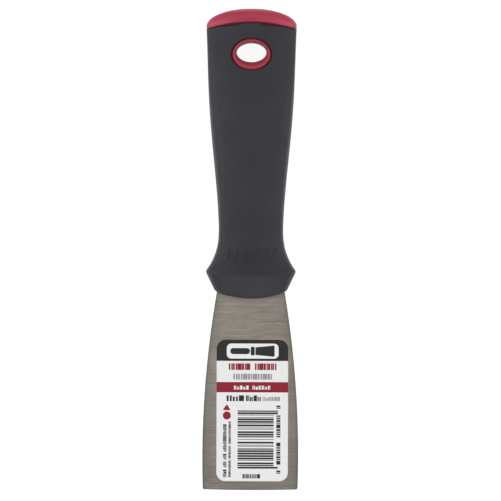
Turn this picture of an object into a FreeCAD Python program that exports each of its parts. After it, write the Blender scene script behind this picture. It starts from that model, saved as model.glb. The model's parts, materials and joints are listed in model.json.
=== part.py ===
import FreeCAD, Part
import math
import os
import Sketcher
from FreeCAD import Placement, Rotation, Vector

# A putty and taping knife with a 38 mm flexible blade and a two-shot moulded handle.
# Its pieces are the blade with its hidden tang; the hard core of the handle, which also
# forms the butt cap and the rim of the hanging hole; the soft grip moulded over that core;
# and the label on the front of the blade.
#
# Frame: X across the blade, Y along the knife with the butt of the handle at +Y, and Z up
# out of the front face. The knife lies on its back, and the origin is on the surface that it
# lies on, below the middle of its length. Each size that ends in "_at" is a distance from
# the butt. All lengths are in millimetres.

SIZES = {
    # whole knife
    "overall_length": 191.2,
    "mid_height": 9.5,
    # rounded butt, an ellipse in plan from a small flat end to the cap station
    "dome_length": 7.0,
    "dome_fullness": 0.7,
    # stations of the handle: distance from the butt, half width and half thickness
    "cap_at": 6.9,
    "cap_half_width": 17.95,
    "cap_half_thickness": 6.1,
    "heel_at": 24.0,
    "heel_half_width": 17.32,
    "heel_half_thickness": 7.25,
    "palm_at": 40.0,
    "palm_half_width": 16.58,
    "palm_half_thickness": 8.95,
    "belly_at": 56.0,
    "belly_half_width": 15.22,
    "belly_half_thickness": 9.45,
    "waist_at": 72.0,
    "waist_half_width": 13.66,
    "waist_half_thickness": 8.6,
    "neck_at": 88.8,
    "neck_half_width": 12.68,
    "neck_half_thickness": 7.4,
    # finger flare, hollow in plan and scooped from the side, both level at the neck
    "flare_radius": 25.0,
    "scoop_radius": 69.05,
    # collar: crest of the sides, crest of the faces, and the end of the bevels, past the lip
    "side_crest_at": 104.25,
    "front_crest_at": 105.7,
    "nose_end_at": 116.0,
    "nose_end_half_width": 12.32,
    "nose_end_half_thickness": 3.95,
    "lip_at": 115.0,
    "lip_radius": 38.2,
    "lip_rounding": 0.8,
    # cross-section: radii as parts of the half width or the half thickness
    "crown_factor": 3.2,
    "side_factor": 2.0,
    "corner_factor": 0.5,
    # split between the hard core and the soft grip
    "side_wall": 2.6,
    "face_wall": 1.9,
    "spine_start_at": 4.0,
    "spine_end_at": 103.0,
    "cap_split_at": 5.25,
    "cap_split_radius": 51.3,
    # hanging hole, and the rim around it that dishes down to the hole
    "hole_at": 17.3,
    "hole_half_width": 6.05,
    "hole_half_length": 4.05,
    "rim_at": 18.1,
    "rim_half_width": 8.05,
    "rim_half_length": 6.5,
    "dish_top": 7.9,
    "dish_floor": 4.2,
    # blade and tang
    "blade_thickness": 1.0,
    "tip_thickness": 0.5,
    "blade_half_width": 19.05,
    "blade_widest_at": 178.1,
    "blade_side_radius": 389.0,
    "tip_radius": 605.0,
    "tip_corner": 0.7,
    "shoulder_at": 108.5,
    "tang_half_width": 7.0,
    "tang_end_at": 44.0,
    "tang_rounding": 2.0,
    "lock_hole_radius": 2.5,
    "lock_hole_first_at": 92.0,
    "lock_hole_pitch": 18.0,
    "lock_hole_count": 3,
    # label
    "label_half_width": 14.2,
    "label_length": 56.2,
    "label_corner": 3.5,
    "label_thickness": 0.1,
    "label_offset": 0.75,
    "label_from_lip": 16.45,
}

STATIONS = ["cap", "heel", "palm", "belly", "waist", "neck"]
DOME_ANGLES = [10, 22, 36, 52, 70]      # degrees round the ellipse of the butt
FLARE_PLACES = [92.5, 96.5, 100.5]      # between the neck and the side crest
REACH = 30.0                            # a length past every face, for the cutting tools
PAST_TIP = 1.0                          # how far the grinding tool runs on past the tip
NEAR = 2.0                              # an edge with its middle this near a place is there
ON_ARC = 0.001                          # how far off an arc a point on it may be
LEAST_CUT = 0.1                         # the volume that a pocket removes at the least

UP = Vector(0, 0, 1)
START, END, CENTRE = 1, 2, 3            # the points of a sketched line or arc
HORIZONTAL_AXIS, VERTICAL_AXIS = -1, -2
SKETCH_ORIGIN = (-1, 1)

doc = FreeCAD.newDocument("taping_knife")


# ---------------------------------------------------------------- sheet and sketch helpers

def add_sheet():
    made = doc.addObject("Spreadsheet::Sheet", "sizes")
    for row, (name, size) in enumerate(SIZES.items(), start=1):
        made.set("A%d" % row, str(size))
        made.setAlias("A%d" % row, name)
    doc.recompute()
    return made


def size(name):
    """One cell, as an expression reads it."""
    return "sizes." + name


def value(expression):
    """The number that an expression on the sheet gives."""
    return float(sheet.evalExpression(expression))


def along(place):
    """The Y of a distance from the butt."""
    return "(sizes.overall_length / 2 - (%s))" % place


def add_body(name):
    body = doc.addObject("PartDesign::Body", name)
    body.Label = name
    body.setExpression("Placement.Base.z", size("mid_height"))
    return body


def origin_plane(body, role):
    return [feature for feature in body.Origin.OriginFeatures if feature.Role == role][0]


def add_sketch(body, name, role, height=None):
    """A sketch on one of the body's own origin planes, or at a height above it."""
    sketch = body.newObject("Sketcher::SketchObject", name)
    sketch.AttachmentSupport = [(origin_plane(body, role), "")]
    sketch.MapMode = "FlatFace"
    if height:
        sketch.setExpression("AttachmentOffset.Base.z", height)
    return sketch


def bind(sketch, name, expression, kind, *points):
    """Adds a dimension to a sketch and binds it to the sheet."""
    index = sketch.addConstraint(Sketcher.Constraint(kind, *points, value(expression)))
    sketch.renameConstraint(index, name)
    sketch.setExpression("Constraints." + name, expression)


def relate(sketch, kind, *points):
    sketch.addConstraint(Sketcher.Constraint(kind, *points))


def pin(sketch, name, geometry, point, x, y):
    """Fixes a point of a sketch at two expressions."""
    bind(sketch, name + "_x", x, "DistanceX", *SKETCH_ORIGIN, geometry, point)
    bind(sketch, name + "_y", y, "DistanceY", *SKETCH_ORIGIN, geometry, point)


def arc(centre, radius, start, stop):
    return Part.ArcOfCircle(Part.Circle(Vector(*centre, 0), UP, radius), start, stop)


def line(start, stop):
    return Part.LineSegment(Vector(*start, 0), Vector(*stop, 0))


def angle_to(start, stop):
    return math.atan2(stop[1] - start[1], stop[0] - start[0])


def polygon(sketch, corners):
    """A closed outline of straight lines between corners, each a pair of expressions."""
    points = [(value(x), value(y)) for x, y in corners]
    for index, point in enumerate(points):
        sketch.addGeometry(line(point, points[(index + 1) % len(points)]))
    for index, (x, y) in enumerate(corners):
        relate(sketch, "Coincident", index, END, (index + 1) % len(points), START)
        pin(sketch, "corner_%d" % index, index, START, x, y)


def ellipse(sketch, half_width, half_length, place):
    """An ellipse on the centre line, at a distance from the butt."""
    radii = (value(half_width), value(half_length))
    centre = Vector(0, value(along(place)), 0)
    curve = sketch.addGeometry(Part.Ellipse(centre, *radii))
    sketch.exposeInternalGeometry(curve)
    long_axis, short_axis = curve + 1, curve + 2
    relate(sketch, "Horizontal", long_axis)
    relate(sketch, "PointOnObject", curve, CENTRE, VERTICAL_AXIS)
    bind(sketch, "place", along(place), "DistanceY", *SKETCH_ORIGIN, curve, CENTRE)
    bind(sketch, "width", "2 * " + half_width, "Distance", long_axis)
    bind(sketch, "length", "2 * " + half_length, "Distance", short_axis)


def corner_centre(crown, crown_gap, side, side_gap):
    """The point outside the line from crown to side, at its own distance from each."""
    reach = math.dist(crown, side)
    toward = (crown_gap ** 2 - side_gap ** 2 + reach ** 2) / (2 * reach)
    across = math.sqrt(crown_gap ** 2 - toward ** 2)
    unit = ((side[0] - crown[0]) / reach, (side[1] - crown[1]) / reach)
    return (crown[0] + toward * unit[0] + across * unit[1],
            crown[1] + toward * unit[1] - across * unit[0])


def section(body, name, place, half_width, half_thickness):
    """A section across the handle: crowned faces, bowed sides and four round corners."""
    sketch = add_sketch(body, name, "XZ_Plane", "-" + along(place))
    radii = {
        "crown_radius": "(%s) * sizes.crown_factor" % half_width,
        "side_radius": "(%s) * sizes.side_factor" % half_thickness,
        "corner_radius": "(%s) * sizes.corner_factor" % half_thickness,
    }
    wide, thick = value(half_width), value(half_thickness)
    crown_radius, side_radius, corner_radius = [value(radius) for radius in radii.values()]
    crown = (0.0, thick - crown_radius)
    side = (wide - side_radius, 0.0)
    x, z = corner_centre(crown, crown_radius - corner_radius, side, side_radius - corner_radius)
    low, high = angle_to(side, (x, z)), angle_to(crown, (x, z))
    half, full = math.pi, 2 * math.pi
    outline = [
        arc(side, side_radius, -low, low),
        arc((x, z), corner_radius, low, high),
        arc(crown, crown_radius, high, half - high),
        arc((-x, z), corner_radius, half - high, half - low),
        arc((-side[0], 0), side_radius, half - low, half + low),
        arc((-x, -z), corner_radius, half + low, half + high),
        arc((0, -crown[1]), crown_radius, half + high, full - high),
        arc((x, -z), corner_radius, full - high, full - low),
    ]
    right, corner, top, left, bottom = 0, 1, 2, 4, 6
    for piece in outline:
        sketch.addGeometry(piece)
    for index in range(len(outline)):
        relate(sketch, "Tangent", index, END, (index + 1) % len(outline), START)
    for other_corner in (3, 5, 7):
        relate(sketch, "Equal", corner, other_corner)
    for first, opposite, axis in ((right, left, HORIZONTAL_AXIS), (top, bottom, VERTICAL_AXIS)):
        relate(sketch, "Equal", first, opposite)
        relate(sketch, "PointOnObject", first, CENTRE, axis)
        relate(sketch, "Symmetric", first, CENTRE, opposite, CENTRE, *SKETCH_ORIGIN)
    for edge, tip, direction, label, expression in (
            (right, (wide, 0), "Horizontal", "half_width", half_width),
            (top, (0, thick), "Vertical", "half_thickness", half_thickness)):
        spoke = sketch.addGeometry(line((0, 0), tip), True)
        relate(sketch, "Coincident", spoke, START, *SKETCH_ORIGIN)
        relate(sketch, direction, spoke)
        relate(sketch, "PointOnObject", spoke, END, edge)
        bind(sketch, label, expression, "Distance", spoke)
    for index, (label, expression) in zip((top, right, corner), radii.items()):
        bind(sketch, label, expression, "Radius", index)
    return sketch


# ---------------------------------------------------------------- feature helpers

def loft(body, name, sections, ruled=False):
    feature = body.newObject("PartDesign::AdditiveLoft", name)
    feature.Profile = sections[0]
    feature.Sections = sections[1:]
    feature.Ruled = ruled
    return feature


def pad(body, name, sketch, length, both_ways=True):
    feature = body.newObject("PartDesign::Pad", name)
    feature.Profile = sketch
    feature.SideType = "Symmetric" if both_ways else "One side"
    feature.setExpression("Length", length)
    return feature


def pocket(body, name, sketch, length):
    """Cuts a sketch through the body both ways, and makes sure that it did."""
    doc.recompute()
    before = body.Shape.Volume
    feature = body.newObject("PartDesign::Pocket", name)
    feature.Profile = sketch
    feature.SideType = "Symmetric"
    feature.setExpression("Length", length)
    doc.recompute()
    if body.Shape.Volume > before - LEAST_CUT:
        raise RuntimeError(name + " removed nothing")
    return feature


def mirror(body, name, original, role):
    """Repeats a feature on the other side of one of the body's own planes."""
    feature = body.newObject("PartDesign::Mirrored", name)
    feature.Originals = [original]
    feature.MirrorPlane = (origin_plane(body, role), [""])
    body.Tip = feature
    return feature


def fillet(body, name, base, radius, wanted):
    """Rounds the edges of a feature whose middle point passes a test."""
    doc.recompute()
    edges = []
    for index, edge in enumerate(base.Shape.Edges, start=1):
        middle = edge.valueAt((edge.FirstParameter + edge.LastParameter) / 2)
        if wanted(edge, middle):
            edges.append("Edge%d" % index)
    feature = body.newObject("PartDesign::Fillet", name)
    feature.Base = (base, edges)
    feature.setExpression("Radius", radius)
    return feature


def boolean(kind, name, first, second):
    """A Part boolean of two objects."""
    result = doc.addObject("Part::" + kind, name)
    result.Label = name
    result.Base = first
    result.Tool = second
    return result


def fuse(name, *shapes):
    result = doc.addObject("Part::MultiFuse", name)
    result.Shapes = list(shapes)
    return result


# ---------------------------------------------------------------- outer form of the handle

def flared(across, radius, place):
    """A half width or half thickness on a hollow arc that starts level at the neck."""
    terms = (across, radius, radius, place)
    return "(sizes.neck_%s + sizes.%s - sqrt(sizes.%s ^ 2 - (%s - sizes.neck_at) ^ 2))" % terms


def flare_section(body, name, place):
    return section(body, name, place, flared("half_width", "flare_radius", place),
                   flared("half_thickness", "scoop_radius", place))


def station_section(body, station):
    return section(body, station, size(station + "_at"), size(station + "_half_width"),
                   size(station + "_half_thickness"))


def dome_sections(body):
    """Sections from the flat end of the butt to the cap station, at equal steps of arc."""
    sections = []
    for angle in DOME_ANGLES:
        place = "sizes.dome_length * (cos(%d deg) - cos(%d deg))" % (DOME_ANGLES[0], angle)
        half_width = "sizes.cap_half_width * sin(%d deg)" % angle
        half_thickness = "sizes.cap_half_thickness * sin(%d deg) ^ sizes.dome_fullness" % angle
        sections.append(section(body, "dome_%d" % angle, place, half_width, half_thickness))
    sections.append(section(body, "dome_end", size("cap_at"), size("cap_half_width"),
                            size("cap_half_thickness")))
    return sections


def nose_sections(body):
    """The collar from the crest of its sides, over the crest of its faces, past the lip."""
    side_crest, front_crest = size("side_crest_at"), size("front_crest_at")
    crest_width = flared("half_width", "flare_radius", side_crest)
    share = "((%s - %s) / (sizes.nose_end_at - %s))" % (front_crest, side_crest, side_crest)
    front_width = "%s * (1 - %s) + sizes.nose_end_half_width * %s" % (crest_width, share, share)
    return [
        flare_section(body, "nose_root", side_crest),
        section(body, "front_crest", front_crest, front_width,
                flared("half_thickness", "scoop_radius", front_crest)),
        section(body, "nose_end", size("nose_end_at"), size("nose_end_half_width"),
                size("nose_end_half_thickness")),
    ]


def cut_lip(body):
    """Ends the nose in a lip that bows toward the blade, seen from the front."""
    sketch = add_sketch(body, "lip_outline", "XY_Plane")
    centre_y = along(size("lip_at")) + " + sizes.lip_radius"
    radius, middle = value(size("lip_radius")), value(centre_y)
    spread = math.asin(REACH / radius)
    bow = sketch.addGeometry(arc((0, middle), radius, -math.pi / 2 - spread, -math.pi / 2 + spread))
    height = middle - radius * math.cos(spread)
    base = height - 2 * REACH
    right = sketch.addGeometry(line((REACH, height), (REACH, base)))
    bottom = sketch.addGeometry(line((REACH, base), (-REACH, base)))
    left = sketch.addGeometry(line((-REACH, base), (-REACH, height)))
    for first, second in ((bow, right), (right, bottom), (bottom, left)):
        relate(sketch, "Coincident", first, END, second, START)
    relate(sketch, "Coincident", left, END, bow, START)
    relate(sketch, "Vertical", right)
    relate(sketch, "Symmetric", bow, START, bow, END, VERTICAL_AXIS)
    relate(sketch, "Symmetric", bottom, START, bottom, END, VERTICAL_AXIS)
    relate(sketch, "PointOnObject", bow, CENTRE, VERTICAL_AXIS)
    bind(sketch, "radius", size("lip_radius"), "Radius", bow)
    bind(sketch, "centre", centre_y, "DistanceY", *SKETCH_ORIGIN, bow, CENTRE)
    bind(sketch, "half_reach", "%g" % REACH, "DistanceX", *SKETCH_ORIGIN, bow, END)
    bind(sketch, "depth", "%g" % (2 * REACH), "Distance", right)
    return pocket(body, "lip", sketch, "%g" % (2 * REACH))


def handle_form():
    """The whole outer form of the handle, which the core and the grip share."""
    body = add_body("handle_form")
    loft(body, "dome_loft", dome_sections(body))
    loft(body, "palm_loft", [station_section(body, station) for station in STATIONS])
    flare = [flare_section(body, "flare_root", size("neck_at"))]
    for place in FLARE_PLACES:
        flare.append(flare_section(body, "flare_%d" % place, "%g" % place))
    flare.append(flare_section(body, "side_crest", size("side_crest_at")))
    loft(body, "flare_loft", flare)
    loft(body, "nose_loft", nose_sections(body), ruled=True)
    lip = cut_lip(body)
    lip_face_radius = value(size("lip_radius"))
    centre = Vector(0, value(along(size("lip_at"))) + lip_face_radius, 0)

    def on_lip(edge, middle):
        gap = math.hypot(middle.x, middle.y - centre.y) - lip_face_radius
        return abs(gap) < ON_ARC and middle.y < centre.y

    fillet(body, "lip_edge", lip, size("lip_rounding"), on_lip)
    return body


# ---------------------------------------------------------------- split of core and grip

def core_spine():
    """The hard core inside the grip: the form of the handle less the walls of the grip."""
    body = add_body("core_spine")

    def inset_section(name, place, station):
        return section(body, name, size(place), size(station + "_half_width") + " - sizes.side_wall",
                       size(station + "_half_thickness") + " - sizes.face_wall")

    sections = [inset_section("spine_start", "spine_start_at", "cap")]
    for station in STATIONS[1:]:
        sections.append(inset_section("spine_" + station, station + "_at", station))
    sections.append(inset_section("spine_end", "spine_end_at", "neck"))
    loft(body, "spine", sections, ruled=True)
    return body


def core_boss():
    """The post of hard core round the hanging hole, which shows as its rim."""
    body = add_body("core_boss")
    sketch = add_sketch(body, "boss_outline", "XY_Plane")
    ellipse(sketch, size("rim_half_width"), size("rim_half_length"), size("rim_at"))
    pad(body, "boss", sketch, "%g" % (2 * REACH))
    return body


def core_cap():
    """The block that holds the butt cap, behind a split line that bows toward the butt."""
    body = add_body("core_cap")
    sketch = add_sketch(body, "cap_outline", "XY_Plane")
    centre_y = along(size("cap_split_at")) + " - sizes.cap_split_radius"
    radius, middle = value(size("cap_split_radius")), value(centre_y)
    spread = math.asin(REACH / radius)
    split = sketch.addGeometry(arc((0, middle), radius, math.pi / 2 - spread, math.pi / 2 + spread))
    height = middle + radius * math.cos(spread)
    top = height + 2 * REACH
    left = sketch.addGeometry(line((-REACH, height), (-REACH, top)))
    back = sketch.addGeometry(line((-REACH, top), (REACH, top)))
    right = sketch.addGeometry(line((REACH, top), (REACH, height)))
    for first, second in ((split, left), (left, back), (back, right)):
        relate(sketch, "Coincident", first, END, second, START)
    relate(sketch, "Coincident", right, END, split, START)
    relate(sketch, "Vertical", left)
    relate(sketch, "Symmetric", split, START, split, END, VERTICAL_AXIS)
    relate(sketch, "Symmetric", back, START, back, END, VERTICAL_AXIS)
    relate(sketch, "PointOnObject", split, CENTRE, VERTICAL_AXIS)
    bind(sketch, "radius", size("cap_split_radius"), "Radius", split)
    bind(sketch, "centre", centre_y, "DistanceY", *SKETCH_ORIGIN, split, CENTRE)
    bind(sketch, "half_reach", "%g" % REACH, "DistanceX", *SKETCH_ORIGIN, split, START)
    bind(sketch, "depth", "%g" % (2 * REACH), "Distance", left)
    pad(body, "cap_block", sketch, "%g" % (2 * REACH))
    return body


def hole_tool():
    """The hanging hole with the dish that leads down to it on both faces."""
    body = add_body("hole_tool")
    hole = add_sketch(body, "hole_outline", "XY_Plane")
    ellipse(hole, size("hole_half_width"), size("hole_half_length"), size("hole_at"))
    pad(body, "hole", hole, "%g" % REACH)
    top = add_sketch(body, "dish_outline", "XY_Plane", size("dish_top"))
    ellipse(top, size("rim_half_width"), size("rim_half_length"), size("rim_at"))
    floor = add_sketch(body, "dish_floor", "XY_Plane", size("dish_floor"))
    ellipse(floor, size("hole_half_width"), size("hole_half_length"), size("hole_at"))
    dish = loft(body, "dish", [top, floor], ruled=True)
    mirror(body, "back_dish", dish, "XY_Plane")
    return body


# ---------------------------------------------------------------- blade and label

def blade_outline(body):
    """The blade from its slightly bowed tip up to the shoulders, and the tang behind them."""
    sketch = add_sketch(body, "blade_outline", "XY_Plane")
    names = ("blade_half_width", "blade_side_radius", "tip_radius", "tang_half_width")
    half_width, side_radius, tip_radius, tang = [value(size(name)) for name in names]
    widest, shoulder, tang_end, tip = [value(along(size(name))) for name in (
        "blade_widest_at", "shoulder_at", "tang_end_at", "overall_length")]
    side_x = half_width - side_radius
    tip_y = tip + tip_radius
    shoulder_x = side_x + math.sqrt(side_radius ** 2 - (shoulder - widest) ** 2)
    shoulder_angle = math.asin((shoulder - widest) / side_radius)
    corner_x = half_width - (widest - tip) ** 2 / (2 * side_radius)
    corner_y = tip_y - math.sqrt(tip_radius ** 2 - corner_x ** 2)
    corner_angle = angle_to((side_x, widest), (corner_x, corner_y))
    tip_angle = angle_to((0, tip_y), (corner_x, corner_y))
    edge = sketch.addGeometry(arc((0, tip_y), tip_radius, -math.pi - tip_angle, tip_angle))
    right = sketch.addGeometry(arc((side_x, widest), side_radius, corner_angle, shoulder_angle))
    chain = [(shoulder_x, shoulder), (tang, shoulder), (tang, tang_end)]
    chain += [(-x, y) for x, y in reversed(chain)]
    lines = [sketch.addGeometry(line(chain[i], chain[i + 1])) for i in range(len(chain) - 1)]
    left = sketch.addGeometry(arc((-side_x, widest), side_radius,
                                  math.pi - shoulder_angle, math.pi - corner_angle))
    ring = [edge, right] + lines + [left]
    for index in range(len(ring)):
        following = ring[(index + 1) % len(ring)]
        relate(sketch, "Coincident", ring[index], END, following, START)
    right_shoulder, right_tang, tang_tip, left_tang, left_shoulder = lines
    relate(sketch, "Horizontal", right_shoulder)
    relate(sketch, "Vertical", right_tang)
    relate(sketch, "Vertical", left_tang)
    relate(sketch, "Horizontal", left_shoulder)
    relate(sketch, "Equal", right, left)
    relate(sketch, "Symmetric", right, CENTRE, left, CENTRE, VERTICAL_AXIS)
    relate(sketch, "Symmetric", tang_tip, START, tang_tip, END, VERTICAL_AXIS)
    relate(sketch, "PointOnObject", edge, CENTRE, VERTICAL_AXIS)
    relate(sketch, "Horizontal", right, END, left, START)
    bind(sketch, "tip_radius", size("tip_radius"), "Radius", edge)
    bind(sketch, "side_radius", size("blade_side_radius"), "Radius", right)
    bind(sketch, "tip_centre", along(size("overall_length")) + " + sizes.tip_radius",
         "DistanceY", *SKETCH_ORIGIN, edge, CENTRE)
    pin(sketch, "side_centre", right, CENTRE, "sizes.blade_half_width - sizes.blade_side_radius",
        along(size("blade_widest_at")))
    pin(sketch, "tang_corner", right_tang, END, size("tang_half_width"), along(size("tang_end_at")))
    bind(sketch, "shoulder", along(size("shoulder_at")), "DistanceY", *SKETCH_ORIGIN,
         right_shoulder, START)
    return sketch


def blade():
    """Ground sheet steel: thinner toward the tip, with three holes in the tang for the core."""
    body = add_body("blade")
    plate = pad(body, "plate", blade_outline(body), size("blade_thickness"))
    tip_y = value(along(size("overall_length")))
    tang_end_y = value(along(size("tang_end_at")))
    half_thickness = value(size("blade_thickness")) / 2

    def at_tip(edge, middle):
        upright = edge.BoundBox.ZLength > half_thickness
        return upright and middle.y < tip_y + NEAR

    def at_tang_end(edge, middle):
        upright = edge.BoundBox.ZLength > half_thickness
        return upright and middle.y > tang_end_y - NEAR

    corners = fillet(body, "tip_corners", plate, size("tip_corner"), at_tip)
    fillet(body, "tang_corners", corners, size("tang_rounding"), at_tang_end)
    grind = add_sketch(body, "grind_outline", "YZ_Plane")
    root_y = along(size("lip_at"))
    past_tip_y = along(size("overall_length") + " + %g" % PAST_TIP)
    slope = ("((sizes.blade_thickness - sizes.tip_thickness) / 2"
             " / (sizes.overall_length - sizes.lip_at))")
    low = "sizes.tip_thickness / 2 - %g * %s" % (PAST_TIP, slope)
    polygon(grind, [
        (root_y, "sizes.blade_thickness / 2"),
        (past_tip_y, low),
        (past_tip_y, "sizes.blade_thickness"),
        (root_y, "sizes.blade_thickness"),
    ])
    front_grind = pocket(body, "front_grind", grind, "%g" % (2 * REACH))
    mirror(body, "back_grind", front_grind, "XY_Plane")
    hole = add_sketch(body, "lock_hole_outline", "XY_Plane")
    first = along(size("lock_hole_first_at"))
    circle = Part.Circle(Vector(0, value(first), 0), UP, value(size("lock_hole_radius")))
    ring = hole.addGeometry(circle)
    relate(hole, "PointOnObject", ring, CENTRE, VERTICAL_AXIS)
    bind(hole, "radius", size("lock_hole_radius"), "Radius", ring)
    bind(hole, "place", first, "DistanceY", *SKETCH_ORIGIN, ring, CENTRE)
    lock_hole = pocket(body, "lock_hole", hole, "%g" % REACH)
    row = body.newObject("PartDesign::LinearPattern", "lock_holes")
    row.Originals = [lock_hole]
    row.Direction = (hole, ["V_Axis"])
    row.setExpression("Length", "sizes.lock_hole_pitch * (sizes.lock_hole_count - 1)")
    row.setExpression("Occurrences", size("lock_hole_count"))
    body.Tip = row
    return body


def front_label():
    """A stuck-on label with round corners, flat on the ground front of the blade."""
    body = add_body("front_label")
    sketch = add_sketch(body, "label_outline", "XY_Plane")
    width, length = value(size("label_half_width")), value(size("label_length"))
    corner, top = value(size("label_corner")), -value(size("label_from_lip"))
    bottom = top - length
    centres = [(width - corner, top - corner), (corner - width, top - corner),
               (corner - width, bottom + corner), (width - corner, bottom + corner)]
    quarter = math.pi / 2
    for index, centre in enumerate(centres):
        sketch.addGeometry(arc(centre, corner, index * quarter, (index + 1) * quarter))
        start = sketch.Geometry[-1].EndPoint
        following = arc(centres[(index + 1) % 4], corner, (index + 1) * quarter, (index + 2) * quarter)
        sketch.addGeometry(line(start[:2], following.StartPoint[:2]))
    for index in range(8):
        relate(sketch, "Tangent", index, END, (index + 1) % 8, START)
    for other_corner in (2, 4, 6):
        relate(sketch, "Equal", 0, other_corner)
    for index, direction in ((3, "Vertical"), (5, "Horizontal"), (7, "Vertical")):
        relate(sketch, direction, index)
    relate(sketch, "Symmetric", 1, START, 1, END, VERTICAL_AXIS)
    bind(sketch, "corner", size("label_corner"), "Radius", 0)
    pin(sketch, "top_right", 0, START, size("label_half_width"),
        "-sizes.label_from_lip - sizes.label_corner")
    bind(sketch, "straight_side", "sizes.label_length - 2 * sizes.label_corner", "Distance", 3)
    pad(body, "label", sketch, size("label_thickness"), both_ways=False)
    # the label tilts about X with the grind: one degree here only sets the axis of the turn
    body.Placement = Placement(Vector(), Rotation(Vector(1, 0, 0), 1))
    body.setExpression("Placement.Rotation.Angle",
                       "atan((sizes.blade_thickness - sizes.tip_thickness)"
                       " / 2 / (sizes.overall_length - sizes.lip_at))")
    body.setExpression("Placement.Base.x", size("label_offset"))
    body.setExpression("Placement.Base.y", along(size("lip_at")))
    body.setExpression("Placement.Base.z", "sizes.mid_height + sizes.blade_thickness / 2")
    return body


# ---------------------------------------------------------------- assembly, checks and export

def build():
    form = handle_form()
    core_blank = fuse("core_blank", core_spine(), core_boss(), core_cap())
    steel = blade()
    core_space = boolean("Common", "core_space", form, core_blank)
    core_cuts = fuse("core_cuts", steel, hole_tool())
    handle_core = boolean("Cut", "handle_core", core_space, core_cuts)
    grip_space = boolean("Cut", "grip_space", form, core_blank)
    grip = boolean("Cut", "grip", grip_space, steel)
    return [steel, handle_core, grip, front_label()]


def check(pieces):
    """Stops unless every object was made and every piece is one sound solid."""
    for made in doc.Objects:
        if "Invalid" in made.State or "Error" in made.State:
            raise RuntimeError("%s is %s" % (made.Name, made.State))
    for piece in pieces:
        shape = piece.Shape
        if shape.isNull() or not shape.isValid() or len(shape.Solids) != 1:
            raise RuntimeError("%s is not one sound solid" % piece.Label)
        print("%-12s %9.1f mm3  %3d faces" % (piece.Label, shape.Volume, len(shape.Faces)))


sheet = add_sheet()
parts = build()
doc.recompute()
check(parts)
os.makedirs("parts", exist_ok=True)
for part in parts:
    part.Shape.exportStep("parts/%s.step" % part.Label)
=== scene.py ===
import json
import math
import random

import bmesh
import bpy
import numpy as np
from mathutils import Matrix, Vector
from mathutils.bvhtree import BVHTree


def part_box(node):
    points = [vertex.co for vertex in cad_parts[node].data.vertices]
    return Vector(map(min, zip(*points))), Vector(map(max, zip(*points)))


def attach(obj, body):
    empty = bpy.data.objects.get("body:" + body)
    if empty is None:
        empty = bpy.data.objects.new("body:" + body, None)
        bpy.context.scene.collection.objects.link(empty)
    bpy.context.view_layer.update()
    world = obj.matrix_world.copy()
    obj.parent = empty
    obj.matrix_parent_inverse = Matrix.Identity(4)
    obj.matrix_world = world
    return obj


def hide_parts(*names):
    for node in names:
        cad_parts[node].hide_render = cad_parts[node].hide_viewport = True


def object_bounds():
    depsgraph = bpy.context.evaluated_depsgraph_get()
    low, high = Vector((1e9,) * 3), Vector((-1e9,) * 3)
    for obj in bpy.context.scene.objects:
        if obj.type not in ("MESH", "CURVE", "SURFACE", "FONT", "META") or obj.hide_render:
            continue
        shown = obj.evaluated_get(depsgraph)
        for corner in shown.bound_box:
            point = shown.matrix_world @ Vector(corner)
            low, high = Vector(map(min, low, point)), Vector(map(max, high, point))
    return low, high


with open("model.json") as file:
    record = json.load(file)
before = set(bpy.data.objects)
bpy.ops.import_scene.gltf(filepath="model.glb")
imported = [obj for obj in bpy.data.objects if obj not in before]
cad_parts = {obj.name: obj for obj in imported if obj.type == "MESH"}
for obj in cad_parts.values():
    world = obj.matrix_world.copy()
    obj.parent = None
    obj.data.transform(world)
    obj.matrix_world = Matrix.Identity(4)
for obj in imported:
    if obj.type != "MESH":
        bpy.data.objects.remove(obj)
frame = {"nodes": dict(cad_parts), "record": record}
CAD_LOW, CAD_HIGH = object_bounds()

# A putty knife that lies on its back: X across the blade, Y along it with the butt of the
# handle at +Y, Z up out of its front. The CAD nodes give the form of the handle, and the
# rounded edges, grooves, ribs and print are made here. Sizes are metres, written in
# millimetres times MM. A "place" is a distance from the butt, as in the design.

MM = 0.001
ROOT = "root"

# Cross-section of the handle. The radius of its crowned faces is a part of its half width,
# and the radii of its bowed sides and round corners are parts of its half thickness.
CROWN_FACTOR = 3.2
SIDE_FACTOR = 2.0
CORNER_FACTOR = 0.5

# faces along each arc of a quarter of the section
SIDE_STEPS = 6
CORNER_STEPS = 9
CROWN_STEPS = 16

# parting line of the mould, a fine ridge along both sides of the handle
PARTING_WIDTH = 0.12 * MM
PARTING_RISE = 0.05 * MM
BESIDE_PARTING = -1.0           # share that marks the column at the foot of the ridge

# Lines across the handle: the seam of cap and grip, and the lip at the blade. The seam is
# drawn 0.55 mm nearer the blade than the split in the design. A rounding is its length along
# the handle and its depth into it.
SPLIT_PLACE = 5.8 * MM
SPLIT_RADIUS = 51.3 * MM
LIP_RADIUS = 38.2 * MM
SEAM_GAP = 0.3 * MM             # half of the groove between cap and grip, in the middle
SEAM_UNDERLAP = 1.5 * MM        # how far the core goes on under the edge of the grip
CAP_ROUNDING = (1.1 * MM, 0.9 * MM)
GRIP_ROUNDING = (0.2 * MM, 0.3 * MM)
LIP_ROUNDING = (0.8 * MM, 0.8 * MM)

# reading the handle's profile from the CAD
RAY_START = 100 * MM            # well outside the knife
PROFILE_STEP = 0.25 * MM
DOME_END = 7 * MM               # the butt is domed as far as here, and is read more closely
DOME_STEPS = 40
DOME_FADE = 4 * MM              # length over which smoothing sets in past the dome
BESIDE_RIM = 9.5 * MM           # where thickness is read beside the hole and its rim
COLLAR_START = 90 * MM
COLLAR_FADE = 6 * MM            # length over which smoothing turns from wide to narrow
NOSE_LEFT = 3.5 * MM            # reading stops this far before the lip, where it is cut
NOSE_PAST = 3 * MM              # and the straight nose is carried on this far past it
SLOPE_STEPS = 11                # steps that the slope of the straight nose is taken over
WIDE_SPREAD, NARROW_SPREAD = 9, 2

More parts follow.
